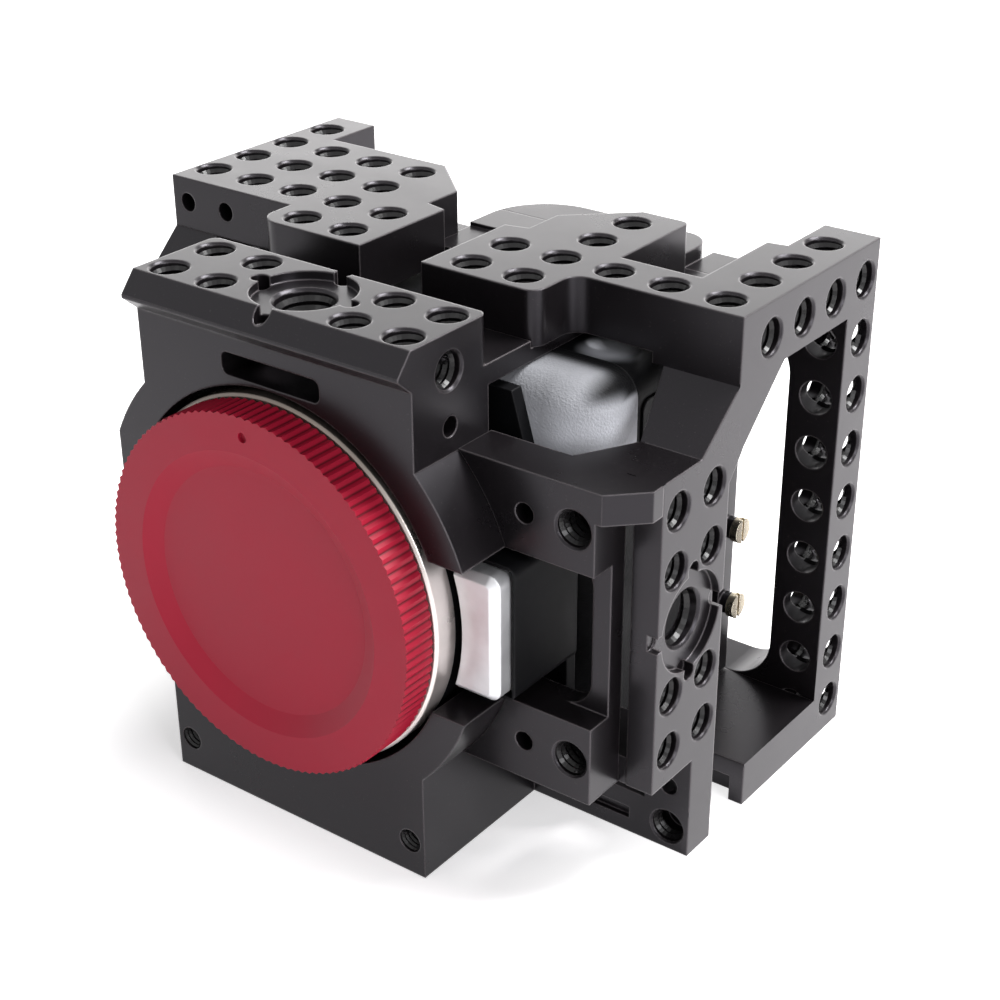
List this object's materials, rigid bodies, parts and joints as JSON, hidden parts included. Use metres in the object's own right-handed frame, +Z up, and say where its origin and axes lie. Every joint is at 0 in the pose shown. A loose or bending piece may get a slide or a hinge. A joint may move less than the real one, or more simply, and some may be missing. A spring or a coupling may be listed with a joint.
{
  "type": "camera cage",
  "caption": "Black machined cage round a compact bayonet-mount camera, with threaded accessory holes, split top plates, a release-button window and a serrated red body cap.",
  "frame": {"origin": "mouth of the tripod thread in the underside, below the lens axis", "axes": "+Z up, -Y out of the lens, +X towards the side with the release button"},
  "size_m": [0.1147, 0.0879, 0.092],
  "materials": {
    "anodised_black": "black hard-anodised, bead-blasted satin",
    "screw_steel": "plain steel",
    "washer_nylon": "natural nylon",
    "camera_grain": "light grey, grained",
    "camera_black": "black, finely textured",
    "key_black": "black, satin moulded",
    "screen_gloss": "glossy black",
    "sensor_glass": "coated",
    "mount_steel": "turned satin",
    "button_nickel": "satin nickel",
    "cap_red": "matte moulded red",
    "brass": "machined"
  },
  "bodies": {
    "cage": {"base_plate": "anodised_black", "bridge_screws": "screw_steel", "camera_body": "camera_black", "camera_front_cover": "camera_black", "camera_front_shell": "camera_grain", "camera_side_door": "camera_black", "clamp_post": "anodised_black", "foot_screws": "screw_steel", "front_frame": "anodised_black", "left_side_plate": "anodised_black", "left_top_plate": "anodised_black", "mount_ring": "mount_steel", "mount_screws": "screw_steel", "rear_frame": "anodised_black", "rear_screen": "screen_gloss", "rear_screws": "screw_steel", "right_top_plate": "anodised_black", "sensor_frame": "camera_black", "sensor_glass": "sensor_glass", "side_frame": "anodised_black", "top_deck": "anodised_black", "wing_plate": "anodised_black", "wing_screw": "screw_steel"},
    "red_cap": {"red_cap": "cap_red"},
    "release_button": {"release_button": "button_nickel"},
    "lock_pin": {"lock_pin": "screw_steel"},
    "clamp_jaw": {"clamp_jaw": "anodised_black"},
    "clamp_screw_upper": {"clamp_screw_upper": "brass"},
    "clamp_screw_lower": {"clamp_screw_lower": "brass"},
    "tie_down_washer": {"tie_down_washer": "washer_nylon"},
    "tie_down_screw": {"tie_down_screw": "screw_steel"},
    "key_button_low": {"key_button_low": "key_black"},
    "key_button_second": {"key_button_second": "key_black"},
    "key_button_third": {"key_button_third": "key_black"},
    "key_button_top": {"key_button_top": "key_black"}
  },
  "joints": [
    {"name": "cap_twist", "type": "hinge", "parent": "cage", "child": "red_cap", "pos_m": [0, -0.036, 0.046], "axis": [0, -1, 0], "range_deg": [0, 60]},
    {"name": "release_press", "type": "slide", "parent": "cage", "child": "release_button", "axis": [0, 1, 0], "range_m": [0, 0.0015], "stiffness_N_per_m": 400, "springref_m": -0.002},
    {"name": "pin_retract", "type": "slide", "parent": "cage", "child": "lock_pin", "axis": [0, 1, 0], "range_m": [0, 0.0015]},
    {"name": "clamp_jaw_slide", "type": "slide", "parent": "cage", "child": "clamp_jaw", "axis": [1, 0, 0], "range_m": [0, 0.001]},
    {"name": "clamp_screw_upper_turn", "type": "hinge", "parent": "clamp_jaw", "child": "clamp_screw_upper", "pos_m": [0.042, 0.0365, 0.0386], "axis": [1, 0, 0], "range_deg": [0, 720]},
    {"name": "clamp_screw_lower_turn", "type": "hinge", "parent": "clamp_jaw", "child": "clamp_screw_lower", "pos_m": [0.042, 0.0365, 0.0235], "axis": [1, 0, 0], "range_deg": [0, 720]},
    {"name": "tie_washer_slide", "type": "slide", "parent": "cage", "child": "tie_down_washer", "axis": [0, 0, -1], "range_m": [0, 0.00254]},
    {"name": "tie_screw_turn", "type": "hinge", "parent": "tie_down_washer", "child": "tie_down_screw", "pos_m": [0, 0.018, 0.002], "axis": [0, 0, -1], "range_deg": [0, 720]},
    {"name": "key_button_low_press", "type": "slide", "parent": "cage", "child": "key_button_low", "axis": [0, -1, 0], "range_m": [0, 0.0005], "stiffness_N_per_m": 300, "springref_m": -0.001},
    {"name": "key_button_second_press", "type": "slide", "parent": "cage", "child": "key_button_second", "axis": [0, -1, 0], "range_m": [0, 0.0005], "stiffness_N_per_m": 300, "springref_m": -0.001},
    {"name": "key_button_third_press", "type": "slide", "parent": "cage", "child": "key_button_third", "axis": [0, -1, 0], "range_m": [0, 0.0005], "stiffness_N_per_m": 300, "springref_m": -0.001},
    {"name": "key_button_top_press", "type": "slide", "parent": "cage", "child": "key_button_top", "axis": [0, -1, 0], "range_m": [0, 0.0005], "stiffness_N_per_m": 300, "springref_m": -0.001}
  ],
  "couplings": [
    {"joint": "pin_retract", "follows": "release_press", "ratio": 1},
    {"joint": "clamp_screw_upper_turn", "follows": "clamp_jaw_slide", "rad_per_m": 12566},
    {"joint": "clamp_screw_lower_turn", "follows": "clamp_jaw_slide", "rad_per_m": 12566},
    {"joint": "tie_screw_turn", "follows": "tie_washer_slide", "rad_per_m": 4947.4}
  ]
}
